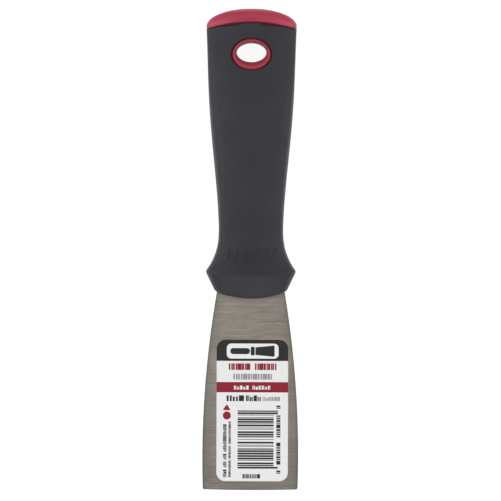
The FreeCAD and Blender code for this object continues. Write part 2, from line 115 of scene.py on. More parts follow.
# hanging hole and its rim, ellipses given by half width and half length
RIM_SIZE = (8.05 * MM, 6.5 * MM)
HOLE_SIZE = (5.9 * MM, 3.95 * MM)
RIM_OFFSET = 1.05 * MM          # the rim's middle is nearer the blade than the hole's
GROOVE_WIDTH = 0.4 * MM
GROOVE_DEPTH = 1.2 * MM
RIM_SUNK = 0.3 * MM             # the rim's crest is below the rubber round it
RIM_EDGE = (0.6 * MM, 0.8 * MM)
OPENING_EDGE = 0.3 * MM         # rounding of the rubber at the groove
MOUTH_DEPTH = 3.4 * MM
MOUTH_LEAN = 0.45               # the mouth is shallower at the butt and deeper at the blade
WALL_HOLLOW = 0.15 * MM         # the wall of the hole bows out in the middle
PATCH_HALF = 12                 # columns each side of the middle that make way for the rim
PATCH_MARGIN = 2.2 * MM         # how far past the rim that opening in the rows goes

# slanted ribs in the finger scoop
RIB_COUNT = 7
RIB_PITCH = 3.1 * MM
RIB_SIZE = (0.55 * MM, 2.7 * MM)    # half width and half length
RIB_RISE = 0.45 * MM
RIB_ROOT = 0.15 * MM                # how far a rib's foot is sunk in the grip
RIB_SLANT = math.radians(-18)
RIB_PLACE = 98.2 * MM

# sides of the blade, seen from the front: long arcs from its widest place to the handle
BLADE_WIDEST = 13.1 * MM        # from the tip
BLADE_SIDE_RADIUS = 389 * MM

CLOSING_STEPS = 4

GRIP_LOW, GRIP_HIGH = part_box("grip")
BLADE_LOW, BLADE_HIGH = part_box("blade")
LABEL_LOW, LABEL_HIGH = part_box("front_label")
MID_Z = (GRIP_LOW.z + GRIP_HIGH.z) / 2
BUTT_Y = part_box("handle_core")[1].y
LIP_PLACE = BUTT_Y - GRIP_LOW.y
MOUNTS = {mount["name"]: mount for mount in frame["record"]["mounts"]}
HOLE_Y = MOUNTS["hang_hole"]["pos_m"][1]
RIM_Y = HOLE_Y - RIM_OFFSET


# ---------------------------------------------------------------- form of the handle

def cad_surface(*names):
    """One tree for casting rays at several CAD nodes."""
    corners, faces = [], []
    for name in names:
        mesh = frame["nodes"][name].data
        first = len(corners)
        corners += [vertex.co.copy() for vertex in mesh.vertices]
        faces += [[first + index for index in face.vertices] for face in mesh.polygons]
    return BVHTree.FromPolygons(corners, faces)


def soften(values, spread):
    """Smooths evenly spaced values with a bell of this many steps."""
    reach = int(4 * spread)
    bell = np.exp(-0.5 * (np.arange(-reach, reach + 1) / spread) ** 2)
    before = values[0] + (values[0] - values[1:reach + 1])[::-1]
    after = values[-1] + (values[-1] - values[-reach - 1:-1])[::-1]
    return np.convolve(np.concatenate([before, values, after]), bell / bell.sum(), "valid")


def read_profile():
    """Places along the handle, with its half width and half thickness at each."""
    tree = cad_surface("grip", "handle_core")

    def width_at(place):
        start = Vector((RAY_START, BUTT_Y - place, MID_Z))
        return tree.ray_cast(start, Vector((-1, 0, 0)))[0].x

    def thickness_at(place, width):
        """Read in the middle, or beside the hole, where the crown has fallen by a known drop."""
        near_rim = abs(BUTT_Y - place - RIM_Y) < RIM_SIZE[1] + MM
        beside = BESIDE_RIM if near_rim else 0.0
        start = Vector((beside, BUTT_Y - place, RAY_START))
        hit = tree.ray_cast(start, Vector((0, 0, -1)))[0]
        crown = CROWN_FACTOR * width
        return hit.z - MID_Z + crown - math.sqrt(crown ** 2 - beside ** 2)

    def finish(values):
        """Carries the straight nose on past the lip, and hides the facets of the CAD mesh with
        a wide smoothing. The crest of the collar gets a narrow one, so that it stays crisp."""
        slope = (values[-1] - values[-1 - SLOPE_STEPS]) / (SLOPE_STEPS * PROFILE_STEP)
        nose = values[-1] + slope * (ends - even[-1])
        line = np.concatenate([values[len(dome):], nose])
        wide, narrow = soften(line, WIDE_SPREAD), soften(line, NARROW_SPREAD)
        past_dome = np.clip((line_places - DOME_END) / DOME_FADE, 0, 1)
        at_collar = np.clip((line_places - COLLAR_START) / COLLAR_FADE, 0, 1)
        line = line + (wide - line) * past_dome * (1 - at_collar) + (narrow - line) * at_collar
        return np.concatenate([values[:len(dome)], line])

    turns = np.linspace(0, math.pi / 2, DOME_STEPS, endpoint=False)
    # the first ray goes in just past the end of the butt, so that it hits
    dome = 0.001 * MM + DOME_END * (1 - np.cos(turns))
    even = np.arange(DOME_END, LIP_PLACE - NOSE_LEFT, PROFILE_STEP)
    ends = np.arange(even[-1] + PROFILE_STEP, LIP_PLACE + NOSE_PAST, PROFILE_STEP)
    places = np.concatenate([dome, even])
    line_places = np.concatenate([even, ends])
    widths = [width_at(place) for place in places]
    heights = [thickness_at(place, width) for place, width in zip(places, widths)]
    return np.concatenate([dome, even, ends]), finish(np.array(widths)), finish(np.array(heights))


PLACES, WIDTHS, HEIGHTS = read_profile()


def half_width(place):
    return np.interp(place, PLACES, WIDTHS)


def half_thickness(place):
    return np.interp(place, PLACES, HEIGHTS)


def face_z(x, y, side=1):
    """Height of the front face, or of the back face with side -1."""
    place = BUTT_Y - y
    crown = CROWN_FACTOR * half_width(place)
    return MID_Z + side * (half_thickness(place) - crown + np.sqrt(crown ** 2 - x ** 2))


def make_columns():
    """For every corner of a section: its arc, how far along the arc it is, and its X and Z sign.
    The arcs of a quarter are 0, the side, 1, the round corner, and 2, the crowned face."""
    quarter = [(0, 0.0), (0, BESIDE_PARTING)]
    for arc, steps in enumerate((SIDE_STEPS, CORNER_STEPS, CROWN_STEPS)):
        quarter += [(arc, index / steps) for index in range(1 if arc == 0 else 0, steps)]
    quarter.append((2, 1.0))
    last = len(quarter) - 1
    up, down = list(range(last)), list(range(last, 0, -1))
    columns = []
    for order, x_sign, z_sign in ((up, 1, 1), (down, -1, 1), (up, -1, -1), (down, 1, -1)):
        columns += [(*quarter[index], x_sign, z_sign) for index in order]
    return np.array(columns).T


ARC, SHARE, X_SIGN, Z_SIGN = make_columns()
COLUMNS = len(ARC)
FRONT_MIDDLE = COLUMNS // 4
BACK_MIDDLE = 3 * FRONT_MIDDLE


def outline(wide, thick):
    """X and Z of every column of a section with crowned faces, bowed sides and round corners."""
    crown, side, corner = CROWN_FACTOR * wide, SIDE_FACTOR * thick, CORNER_FACTOR * thick
    crown_z, side_x = thick - crown, wide - side
    # middle of the corner's arc, which touches the arcs of the crown and the side from inside
    reach = np.hypot(side_x, crown_z)
    toward = ((crown - corner) ** 2 - (side - corner) ** 2 + reach ** 2) / (2 * reach)
    across = np.sqrt((crown - corner) ** 2 - toward ** 2)
    corner_x = (toward * side_x - across * crown_z) / reach
    corner_z = crown_z - (toward * crown_z + across * side_x) / reach
    low = np.arctan2(corner_z, corner_x - side_x)
    high = np.arctan2(corner_z - crown_z, corner_x)
    on_side = np.where(SHARE == BESIDE_PARTING, PARTING_WIDTH / side, SHARE * low)
    ridge = np.where((ARC == 0) & (SHARE == 0), PARTING_RISE, 0.0)
    on_corner = low + SHARE * (high - low)
    crown_x = crown * np.cos(high) * (1 - SHARE)
    x = np.choose(ARC.astype(int), [side_x + side * np.cos(on_side) + ridge,
                                    corner_x + corner * np.cos(on_corner), crown_x])
    z = np.choose(ARC.astype(int), [side * np.sin(on_side), corner_z + corner * np.sin(on_corner),
                                    crown_z + np.sqrt(crown ** 2 - crown_x ** 2)])
    return X_SIGN * x, MID_Z + Z_SIGN * z


def section_row(place_of, inset=0.0, rounds=12):
    """A row of points where the handle meets a bent line across it, set in from the skin."""
    place = np.full(COLUMNS, float(np.mean(place_of(np.zeros(COLUMNS)))))
    for _ in range(rounds):
        x, z = outline(half_width(place) - inset, half_thickness(place) - inset)
        place = 0.5 * place + 0.5 * place_of(x)
    x, z = outline(half_width(place) - inset, half_thickness(place) - inset)
    return np.stack([x, BUTT_Y - place, z], axis=1)


def bow(radius, x):
    """How far an arc across the handle has curved away at a distance from the middle."""
    return radius - np.sqrt(radius ** 2 - x ** 2)


def split_place(x):
    return SPLIT_PLACE + bow(SPLIT_RADIUS, x)


def lip_place(x):
    return LIP_PLACE - bow(LIP_RADIUS, x)


def bent_place(place, seam_reach=3 * MM, lip_reach=9 * MM):
    """A line across the grip that bends with the seam near the butt, and with the lip near the
    blade. It bends less than they do, so toward the sides the skin laps over the edge at the
    seam, by up to 1.2 mm, and over the edge at the lip, by up to 0.25 mm."""
    near_split = max(0.0, 1 - (place - SPLIT_PLACE) / seam_reach) ** 2
    near_lip = max(0.0, 1 - (LIP_PLACE - place) / lip_reach)

    def place_of(x):
        return place + near_split * bow(SPLIT_RADIUS, x) - near_lip * bow(LIP_RADIUS, x)
    return place_of


def closing_rows(row):
    """Draws a section in to a line in its own middle, so that the form ends in a closed face."""
    rows = []
    for index in range(1, CLOSING_STEPS + 1):
        closer = row.copy()
        closer[:, 2] = MID_Z + (row[:, 2] - MID_Z) * (1 - index / CLOSING_STEPS)
        rows.append(closer)
    return rows


def rounded_end(edge_of, rounding, inward, steps=5):
    """Rows that turn a form's skin over into its end face, at an edge across the handle."""
    rows = []
    length, depth = rounding
    for index in range(1, steps + 1):
        turn = index / steps * math.pi / 2
        back = length * (1 - math.sin(turn))
        inset = depth * (1 - math.cos(turn))
        rows.append(section_row(lambda x: edge_of(x) + inward * back, inset))
    return rows


# ---------------------------------------------------------------- mesh helpers

def tube_faces(row_count, columns, first=0):
    """Quads between rows of a closed section."""
    faces = []
    for row in range(row_count - 1):
        for column in range(columns):
            after = (column + 1) % columns
            start = first + row * columns
            faces.append((start + column, start + after, start + columns + after,
                          start + columns + column))
    return faces


def ring_faces(below, above):
    """Quads between two rings of corners, which are given by their numbers."""
    faces = []
    for index in range(len(below)):
        after = (index + 1) % len(below)
        faces.append((below[index], below[after], above[after], above[index]))
    return faces


def add_piece(name, corners, faces, material, smooth=True, weld=0.002 * MM):
    """A closed mesh that rides with the knife."""
    mesh = bpy.data.meshes.new(name)
    mesh.from_pydata([tuple(map(float, corner)) for corner in corners], [], faces)
    form = bmesh.new()
    form.from_mesh(mesh)
    bmesh.ops.remove_doubles(form, verts=form.verts, dist=weld)
    bmesh.ops.dissolve_degenerate(form, edges=form.edges, dist=weld / 10)
    bmesh.ops.delete(form, geom=[v for v in form.verts if not v.link_faces], context="VERTS")
    bmesh.ops.recalc_face_normals(form, faces=form.faces)
    form.to_mesh(mesh)
    form.free()
    if smooth:
        mesh.shade_smooth()
    mesh.materials.append(material)
    piece = bpy.data.objects.new(name, mesh)
    bpy.context.scene.collection.objects.link(piece)
    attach(piece, ROOT)
    return piece


# ---------------------------------------------------------------- handle pieces

def make_cap(material):
    """The red butt, down to the seam with the grip."""
    dome_rows = 22
    rows = []
    for index in range(dome_rows):
        share = 1 - math.cos(index / dome_rows * math.pi / 2)
        rows.append(section_row(
            lambda x: share * (split_place(x) - SEAM_GAP - CAP_ROUNDING[0])))
    rows.append(section_row(lambda x: split_place(x) - SEAM_GAP - CAP_ROUNDING[0]))
    end = rounded_end(lambda x: split_place(x) - SEAM_GAP, CAP_ROUNDING, -1)
    # a ledge of the core shows in the seam and goes on under the edge of the grip
    end.append(section_row(lambda x: split_place(x) + SEAM_UNDERLAP, CAP_ROUNDING[1]))
    rows = closing_rows(rows[0])[::-1] + rows + end + closing_rows(end[-1])
    return add_piece("butt_cap", np.concatenate(rows), tube_faces(len(rows), COLUMNS), material)


def ellipse_points(size, centre_y, turns, inset=0.0):
    return (size[0] - inset) * np.cos(turns), centre_y + (size[1] - inset) * np.sin(turns)


def hole_patch(rows, first, last, middle_column, side):
    """Fits the skin of one face to the oval of the rim, and turns it down into the handle.
    Gives the border of the opening in the rows, the rings inside it and the quads it removes."""
    left, right = middle_column - PATCH_HALF, middle_column + PATCH_HALF
    border = [(first, column) for column in range(left, right)]
    border += [(row, right) for row in range(first, last)]
    border += [(last, column) for column in range(right, left, -1)]
    border += [(row, left) for row in range(last, first, -1)]
    edge = np.array([rows[row][column] for row, column in border])
    turns = np.arctan2((edge[:, 1] - RIM_Y) / RIM_SIZE[1], edge[:, 0] / RIM_SIZE[0])
    rings = []
    for share in (0.15, 0.3, 0.45, 0.6, 0.75, 0.88, 1.0):
        x, y = ellipse_points(RIM_SIZE, RIM_Y, turns, -OPENING_EDGE)
        x = edge[:, 0] + share * (x - edge[:, 0])
        y = edge[:, 1] + share * (y - edge[:, 1])
        rings.append(np.stack([x, y, face_z(x, y, side)], axis=1))
    edge_steps = 5
    for index in range(1, edge_steps + 1):
        turn = index / edge_steps * math.pi / 2
        x, y = ellipse_points(RIM_SIZE, RIM_Y, turns, -OPENING_EDGE * (1 - math.sin(turn)))
        drop = OPENING_EDGE * (1 - math.cos(turn))
        rings.append(np.stack([x, y, face_z(x, y, side) - side * drop], axis=1))
    wall = rings[-1].copy()
    wall[:, 2] = MID_Z
    rings.append(wall)
    removed = {(row, column) for row in range(first, last) for column in range(left, right)}
    return border, rings, removed


def make_grip(material):
    """The charcoal grip from the seam to the lip, with an oval way through for the rim."""
    palm_rows, collar_rows, lip_steps = 74, 62, 7
    start = rounded_end(lambda x: split_place(x) + SEAM_GAP, GRIP_ROUNDING, 1)[::-1]
    end = rounded_end(lip_place, LIP_ROUNDING, -1, lip_steps)
    first_place = SPLIT_PLACE + SEAM_GAP + GRIP_ROUNDING[0]
    palm = np.linspace(first_place, COLLAR_START, palm_rows, endpoint=False)
    collar = np.linspace(COLLAR_START, LIP_PLACE - LIP_ROUNDING[0], collar_rows)
    body = [section_row(bent_place(place)) for place in np.concatenate([palm, collar])]
    rows = closing_rows(start[0])[::-1] + start
    body_first = len(rows)
    rows += body + end + closing_rows(end[-1])
    body_y = np.array([row[FRONT_MIDDLE][1] for row in rows[body_first:]])

    def nearest_row(y):
        return body_first + int(np.argmin(abs(body_y - y)))

    first = nearest_row(RIM_Y + RIM_SIZE[1] + PATCH_MARGIN)
    last = nearest_row(RIM_Y - RIM_SIZE[1] - PATCH_MARGIN)
    corners = [corner for row in rows for corner in row]
    removed = set()
    patch_faces = []
    for middle_column, side in ((FRONT_MIDDLE, 1), (BACK_MIDDLE, -1)):
        border, rings, covered = hole_patch(rows, first, last, middle_column, side)
        removed |= covered
        outer = [row * COLUMNS + column for row, column in border]
        for ring in rings:
            inner = list(range(len(corners), len(corners) + len(ring)))
            corners += list(ring)
            patch_faces += ring_faces(outer, inner)
            outer = inner
    faces = [face for index, face in enumerate(tube_faces(len(rows), COLUMNS))
             if divmod(index, COLUMNS) not in removed]
    return add_piece("soft_grip", corners, faces + patch_faces, material)


def make_rim(material):
    """The red rim: a groove round it, a bell mouth on both faces and the wall of the hole."""
    count, edge_steps, mouth_steps = 128, 7, 16
    clearance = 0.02 * MM
    turns = np.linspace(0, 2 * math.pi, count, endpoint=False)

    def half(side):
        """Rows from the middle of the outside, over one face, to the middle of the hole."""
        def row(points, drop):
            return *points, face_z(*points, side) - side * drop

        outer = ellipse_points(RIM_SIZE, RIM_Y, turns, clearance)
        floor = ellipse_points(RIM_SIZE, RIM_Y, turns, GROOVE_WIDTH)
        rows = [(*outer, np.full(count, MID_Z)), row(outer, GROOVE_DEPTH), row(floor, GROOVE_DEPTH)]
        for index in range(edge_steps + 1):
            turn = index / edge_steps * math.pi / 2
            inset = GROOVE_WIDTH + RIM_EDGE[0] * (1 - math.cos(turn))
            drop = RIM_SUNK + RIM_EDGE[1] * (1 - math.sin(turn))
            rows.append(row(ellipse_points(RIM_SIZE, RIM_Y, turns, inset), drop))
        top = ellipse_points(RIM_SIZE, RIM_Y, turns, GROOVE_WIDTH + RIM_EDGE[0])
        hole = ellipse_points(HOLE_SIZE, HOLE_Y, turns)
        depth = MOUTH_DEPTH * (1 - MOUTH_LEAN * np.sin(turns))
        for index in range(1, mouth_steps + 1):
            turn = index / mouth_steps * math.pi / 2
            share, drop = math.sin(turn), RIM_SUNK + depth * (1 - math.cos(turn))
            x = top[0] + share * (hole[0] - top[0])
            y = top[1] + share * (hole[1] - top[1])
            rows.append(row((x, y), drop))
        hollow = ellipse_points(HOLE_SIZE, HOLE_Y, turns, -WALL_HOLLOW)
        rows.append((*hollow, np.full(count, MID_Z)))
        return rows

    rows = half(1) + half(-1)[::-1]
    corners = np.concatenate([np.stack(row, axis=1) for row in rows])
    return add_piece("hole_rim", corners, tube_faces(len(rows), count), material)


def make_ribs(material):
    """A row of short slanted ribs in the finger scoop of both faces."""
    rings, spokes = 5, 28
    half_across, half_length = RIB_SIZE
    straight = half_length - half_across
    corners, faces = [], []
    for side in (1, -1):
        for index in range(RIB_COUNT):
            centre_x = (index - (RIB_COUNT - 1) / 2) * RIB_PITCH
            first = len(corners)
            for ring in range(rings + 1):
                turn = ring / rings * math.pi / 2
                reach = half_across * math.cos(turn)
                rise = RIB_RISE * math.sin(turn) if ring else -RIB_ROOT
                for spoke in range(spokes):
                    around = spoke / spokes * 2 * math.pi
                    u = reach * math.cos(around)
                    v = reach * math.sin(around) + math.copysign(straight, math.sin(around))
                    x = centre_x + u * math.cos(RIB_SLANT) - v * math.sin(RIB_SLANT)
                    y = BUTT_Y - RIB_PLACE + u * math.sin(RIB_SLANT) + v * math.cos(RIB_SLANT)
                    corners.append((x, y, face_z(x, y, side) + side * rise))
            faces += tube_faces(rings + 1, spokes, first)
            faces.append(tuple(range(first, first + spokes)))
    return add_piece("scoop_ribs", corners, faces, material)


# ---------------------------------------------------------------- label print

LABEL_X = (LABEL_LOW.x + LABEL_HIGH.x) / 2
LABEL_TOP = LABEL_HIGH.y
LABEL_HALF = (LABEL_HIGH.x - LABEL_LOW.x) / 2 / MM     # millimetres, as all print is laid out
LABEL_CORNER = 3.5
INK_RISE = 0.012 * MM
INK_SINK = 0.03 * MM
PRINT_CORNER_STEPS = 8
DISC_STEPS = 32
# share of a pitch that a line is shorter by, because no gap follows its last block
LAST_GAP = 0.2
# bars that a block may be made of, as the shares of its thickness where they start and end
BLOCK_FORMS = [[(0, 1)], [(0, 0.4), (0.62, 1)], [(0, 0.55), (0.7, 1)]]


def label_plane():
    """Height of the label's face as a function of Y."""
    tree = cad_surface("front_label")
    low_y, high_y = LABEL_LOW.y + MM, LABEL_HIGH.y - MM
    low_z, high_z = [tree.ray_cast(Vector((LABEL_X, y, RAY_START)), Vector((0, 0, -1)))[0].z
                     for y in (low_y, high_y)]
    slope = (high_z - low_z) / (high_y - low_y)
    return lambda y: low_z + slope * (y - low_y)


label_z = label_plane()


class Print:
    """Flat shapes in one ink. They are placed in millimetres right of the label's middle and
    down from its top, and a higher layer lies on the ones below it."""

    def __init__(self, layer=0):
        self.corners = []
        self.faces = []
        self.rise = INK_RISE * (layer + 1)
        self.draws = random.Random(11)

    def shape(self, points):
        """A flat slab over an outline of (right, down) points."""
        count = len(points)
        below = list(range(len(self.corners), len(self.corners) + count))
        above = [corner + count for corner in below]
        for lift in (-INK_SINK, self.rise):
            for right, down in points:
                x, y = LABEL_X + right * MM, LABEL_TOP - down * MM
                self.corners.append((x, y, label_z(y) + lift))
        self.faces += [tuple(below), tuple(above)] + ring_faces(below, above)

    def box(self, left, right, top, bottom):
        self.shape([(left, top), (right, top), (right, bottom), (left, bottom)])

    def rounded(self, left, right, top, bottom, corner, round_bottom=True):
        """A box with round top corners, and round bottom ones if asked."""
        points = []
        centres = [(right - corner, top + corner), (left + corner, top + corner)]
        if round_bottom:
            centres += [(left + corner, bottom - corner), (right - corner, bottom - corner)]
        for quarter, (x, down) in enumerate(centres):
            for step in range(PRINT_CORNER_STEPS + 1):
                turn = (quarter + step / PRINT_CORNER_STEPS) * math.pi / 2
                points.append((x + corner * math.cos(turn), down - corner * math.sin(turn)))
        if not round_bottom:
            points += [(left, bottom), (right, bottom)]
        self.shape(points)

    def disc(self, x, down, radius):
        turns = [index / DISC_STEPS * 2 * math.pi for index in range(DISC_STEPS)]
        self.shape([(x + radius * math.cos(turn), down - radius * math.sin(turn))
                    for turn in turns])

    def line(self, left, right, top, bottom, words, upright=False, low=1.0, ink=0.84):
        """Blocks in place of words: each number is how many blocks a word has. A block is ink of
        the pitch thick, and one that doesn't start its word may have the share low of the height.
        An upright line runs down the label."""
        blocks = sum(words) + len(words) - 1
        start, stop = (top, bottom) if upright else (left, right)
        pitch = (stop - start) / (blocks - LAST_GAP)
        thick = ink * pitch
        position = start
        for count in words:
            for index in range(count):
                height = 1.0 if index == 0 else self.draws.choice([1.0, low])
                for first, last in self.draws.choice(BLOCK_FORMS):
                    near, far = position + first * thick, position + last * thick
                    if upright:
                        self.box(left + (1 - height) * (right - left), right, near, far)
                    else:
                        self.box(near, far, top + (1 - height) * (bottom - top), bottom)
                position += pitch
            position += pitch

    def finish(self, name, material):
        return add_piece(name, self.corners, self.faces, material, smooth=False,
                         weld=0.0001 * MM)


def make_stripes(ink):
    """Stripes of random thickness across the label, with longer ones at both ends."""
    module = 0.243
    left, right, long_right = -5.8, 8.5, 10.2
    top, bottom = 28.1, 51.3
    long_top, long_bottom = 5 * module, 6 * module
    draws = random.Random(7)
    down = top
    while down < bottom:
        thick = module * draws.choice([1, 2, 2, 3, 3, 4])
        at_end = down < top + long_top or down > bottom - long_bottom
        ink.box(left, long_right if at_end else right, down, min(down + thick, bottom))
        down += thick + module * draws.choice([1, 1, 1, 2, 3])


def make_print(inks):
    black, red, grey, white = Print(), Print(), Print(), Print(1)
    pictogram = Print(2)
    # head band with a plain panel and a picture of a scraper: blade, ferrule and handle
    black.rounded(-LABEL_HALF, LABEL_HALF, 0.0, 8.4, LABEL_CORNER, round_bottom=False)
    white.rounded(-10.2, 10.4, 1.5, 7.5, 1.8)
    pictogram.shape([(1.2, 3.0), (8.2, 2.3), (8.8, 2.5), (8.8, 6.5), (8.2, 6.7), (1.2, 6.0)])
    pictogram.rounded(-0.7, 0.9, 2.8, 6.2, 0.5)
    pictogram.rounded(-8.8, -1.0, 3.3, 5.7, 1.15)
    # lines of plain blocks across the label, and the red band
    red.line(-9.4, 9.3, 9.4, 12.0, [5, 5], ink=0.95)
    grey.line(-7.6, 7.6, 13.5, 15.8, [8], ink=0.9)
    red.box(-LABEL_HALF, LABEL_HALF, 16.8, 20.9)
    white.line(-7.3, 7.2, 18.2, 19.8, [5, 6], low=0.7, ink=0.72)
    black.line(-10.2, -3.4, 22.1, 24.4, [3], low=0.8)
    black.line(-2.5, 3.3, 22.1, 24.4, [4], low=0.75)
    grey.line(4.1, 10.9, 22.7, 24.3, [6], low=0.8)
    # a plain triangle and disc above two upright lines of small blocks
    red.shape([(-10.4, 25.9), (-9.9, 25.9), (-8.6, 28.0), (-11.7, 28.0)])
    red.disc(-10.1, 30.1, 1.6)
    black.line(-11.6, -10.2, 33.6, 54.6, [14, 3, 3, 4], upright=True, low=0.8)
    black.line(-9.4, -8.5, 32.5, 54.6, [16, 9, 12], upright=True)
    # stripes with an upright line of blocks beside them and a short line below
    make_stripes(black)
    for top, bottom, words in ((26.1, 27.3, [1]), (30.0, 49.5, [5, 5]), (51.9, 53.1, [1])):
        black.line(9.6, 11.2, top, bottom, words, upright=True)
    black.line(-3.8, 3.1, 53.4, 55.1, [5])
    for ink, name in ((black, "black"), (red, "red"), (grey, "grey"), (white, "white")):
        ink.finish("label_print_" + name, inks[name])
    pictogram.finish("label_pictogram", inks["black"])


# ---------------------------------------------------------------- materials

class Shader:
    """Builds a node material step by step."""

    def __init__(self, name):
        self.material = bpy.data.materials.new(name)
        self.material.use_nodes = True
        self.nodes = self.material.node_tree.nodes
        self.links = self.material.node_tree.links
        self.shader = self.nodes["Principled BSDF"]
        self.place = self.nodes.new("ShaderNodeTexCoord").outputs["Object"]

    def set(self, **values):
        """Gives sockets of the shader one value for the whole surface."""
        for name, value in values.items():
            self.shader.inputs[name.replace("_", " ")].default_value = value

    def connect(self, **sockets):
        """Links values that vary over the surface to sockets of the shader."""
        for name, value in sockets.items():
            self.links.new(value, self.shader.inputs[name.replace("_", " ")])

    def axis(self, name):
        """One coordinate of a point on the piece, in metres."""
        node = self.nodes.new("ShaderNodeSeparateXYZ")
        self.links.new(self.place, node.inputs[0])
        return node.outputs[name]

    def noise(self, scale, detail=3.0, roughness=0.5, stretch=(1, 1, 1)):
        """Noise that is drawn out along an axis where its stretch is small."""
        mapping = self.nodes.new("ShaderNodeMapping")
        mapping.inputs["Scale"].default_value = stretch
        self.links.new(self.place, mapping.inputs["Vector"])
        node = self.nodes.new("ShaderNodeTexNoise")
        node.inputs["Scale"].default_value = scale
        node.inputs["Detail"].default_value = detail
        node.inputs["Roughness"].default_value = roughness
        self.links.new(mapping.outputs["Vector"], node.inputs["Vector"])
        return node.outputs["Fac"]

    def ramp(self, value, low, high, low_out=0.0, high_out=1.0):
        """Goes from low_out to high_out as the value goes from low to high."""
        node = self.nodes.new("ShaderNodeMapRange")
        for name, number in (("From Min", low), ("From Max", high), ("To Min", low_out),
                             ("To Max", high_out)):
            node.inputs[name].default_value = number
        self.links.new(value, node.inputs["Value"])
        return node.outputs["Result"]

    def math(self, operation, first, second=0.0):
        node = self.nodes.new("ShaderNodeMath")
        node.operation = operation
        for socket, value in zip(node.inputs, (first, second)):
            if isinstance(value, (int, float)):
                socket.default_value = value
            else:
                self.links.new(value, socket)
        return node.outputs[0]

    def add(self, first, second):
        return self.math("ADD", first, second)

    def subtract(self, first, second):
        return self.math("SUBTRACT", first, second)

    def multiply(self, first, second):
        return self.math("MULTIPLY", first, second)

    def square(self, value):
        return self.math("MULTIPLY", value, value)

    def mix(self, share, first, second):
        node = self.nodes.new("ShaderNodeMix")
        node.data_type = "RGBA"
        for socket, value in zip((node.inputs[0], node.inputs[6], node.inputs[7]),
                                 (share, first, second)):
            if isinstance(value, tuple):
                socket.default_value = (*value, 1)
            else:
                self.links.new(value, socket)
        return node.outputs[2]

    def bump(self, height, distance, strength):
        node = self.nodes.new("ShaderNodeBump")
        node.inputs["Strength"].default_value = strength
        node.inputs["Distance"].default_value = distance
        self.links.new(height, node.inputs["Height"])
        return node.outputs["Normal"]


def grip_material():
    """Soft moulded rubber: a fine spark-eroded texture, faint cloudiness and rubbed patches."""
    shader = Shader("grip_rubber")
    shader.set(Specular_IOR_Level=0.3)
    clouds = shader.noise(70, 2.0)
    rubbed = shader.noise(260, 4.0, 0.6)
    grain = shader.noise(4200, 2.0, 0.6)
    darker, lighter = (0.021, 0.0215, 0.027), (0.0255, 0.0262, 0.0318)
    colour = shader.mix(shader.ramp(clouds, 0.35, 0.65), darker, lighter)
    rough = shader.ramp(rubbed, 0.3, 0.7, 0.50, 0.60)
    shader.connect(Base_Color=colour, Roughness=rough, Normal=shader.bump(grain, 0.03 * MM, 0.35))
    return shader.material


def core_material():
    """Red moulded plastic with a slight orange peel and faint flow marks. The rim is left rough
    by the mould, and painted shade darkens its depth and the seam with the grip."""
    shader = Shader("core_plastic")
    shader.set(Specular_IOR_Level=0.45)
    flow = shader.noise(90, 3.0, 0.6, (1, 3, 1))
    peel = shader.noise(1500, 2.0)
    # the third colour is painted shade, for the depth of the rim and the groove of the seam
    darker, lighter, painted_shade_red = (0.385, 0.033, 0.065), (0.43, 0.039, 0.076), (0.10, 0.012, 0.022)
    x, y, z = shader.axis("X"), shader.axis("Y"), shader.axis("Z")
    # inside an oval a little larger than the rim
    across = shader.math("DIVIDE", x, RIM_SIZE[0])
    along = shader.math("DIVIDE", shader.subtract(y, RIM_Y), RIM_SIZE[1])
    from_middle = shader.add(shader.square(along), shader.square(across))
    in_rim = shader.ramp(from_middle, 1.1, 1.3, 1.0, 0.0)
    below_face = shader.math("ABSOLUTE", shader.subtract(z, MID_Z))
    # painted shade: the rim grows darker the deeper it lies below the face, where less light
    # reaches
    rim_painted_shade = shader.multiply(in_rim, shader.ramp(below_face, 2.0 * MM, 5.5 * MM, 0.8, 0.28))
    # distance from the seam toward the butt
    bowed = shader.math("DIVIDE", shader.square(x), 2 * SPLIT_RADIUS)
    before_seam = shader.add(shader.subtract(y, BUTT_Y - SPLIT_PLACE), bowed)
    # painted shadow in the groove of the seam, fading out toward the butt
    seam_painted_shadow = shader.multiply(shader.ramp(before_seam, 0.0, 1.8 * MM, 0.5, 0.0),
                                shader.subtract(1.0, in_rim))
    clean = shader.mix(shader.ramp(flow, 0.35, 0.65), darker, lighter)
    # painted shade of the rim and painted shadow of the seam, laid over the plastic's own colour
    colour = shader.mix(shader.math("MAXIMUM", rim_painted_shade, seam_painted_shadow), clean, painted_shade_red)
    rough = shader.add(shader.ramp(flow, 0.3, 0.7, 0.32, 0.42), shader.multiply(in_rim, 0.35))
    shader.connect(Base_Color=colour, Roughness=rough, Normal=shader.bump(peel, 0.02 * MM, 0.3))
    return shader.material


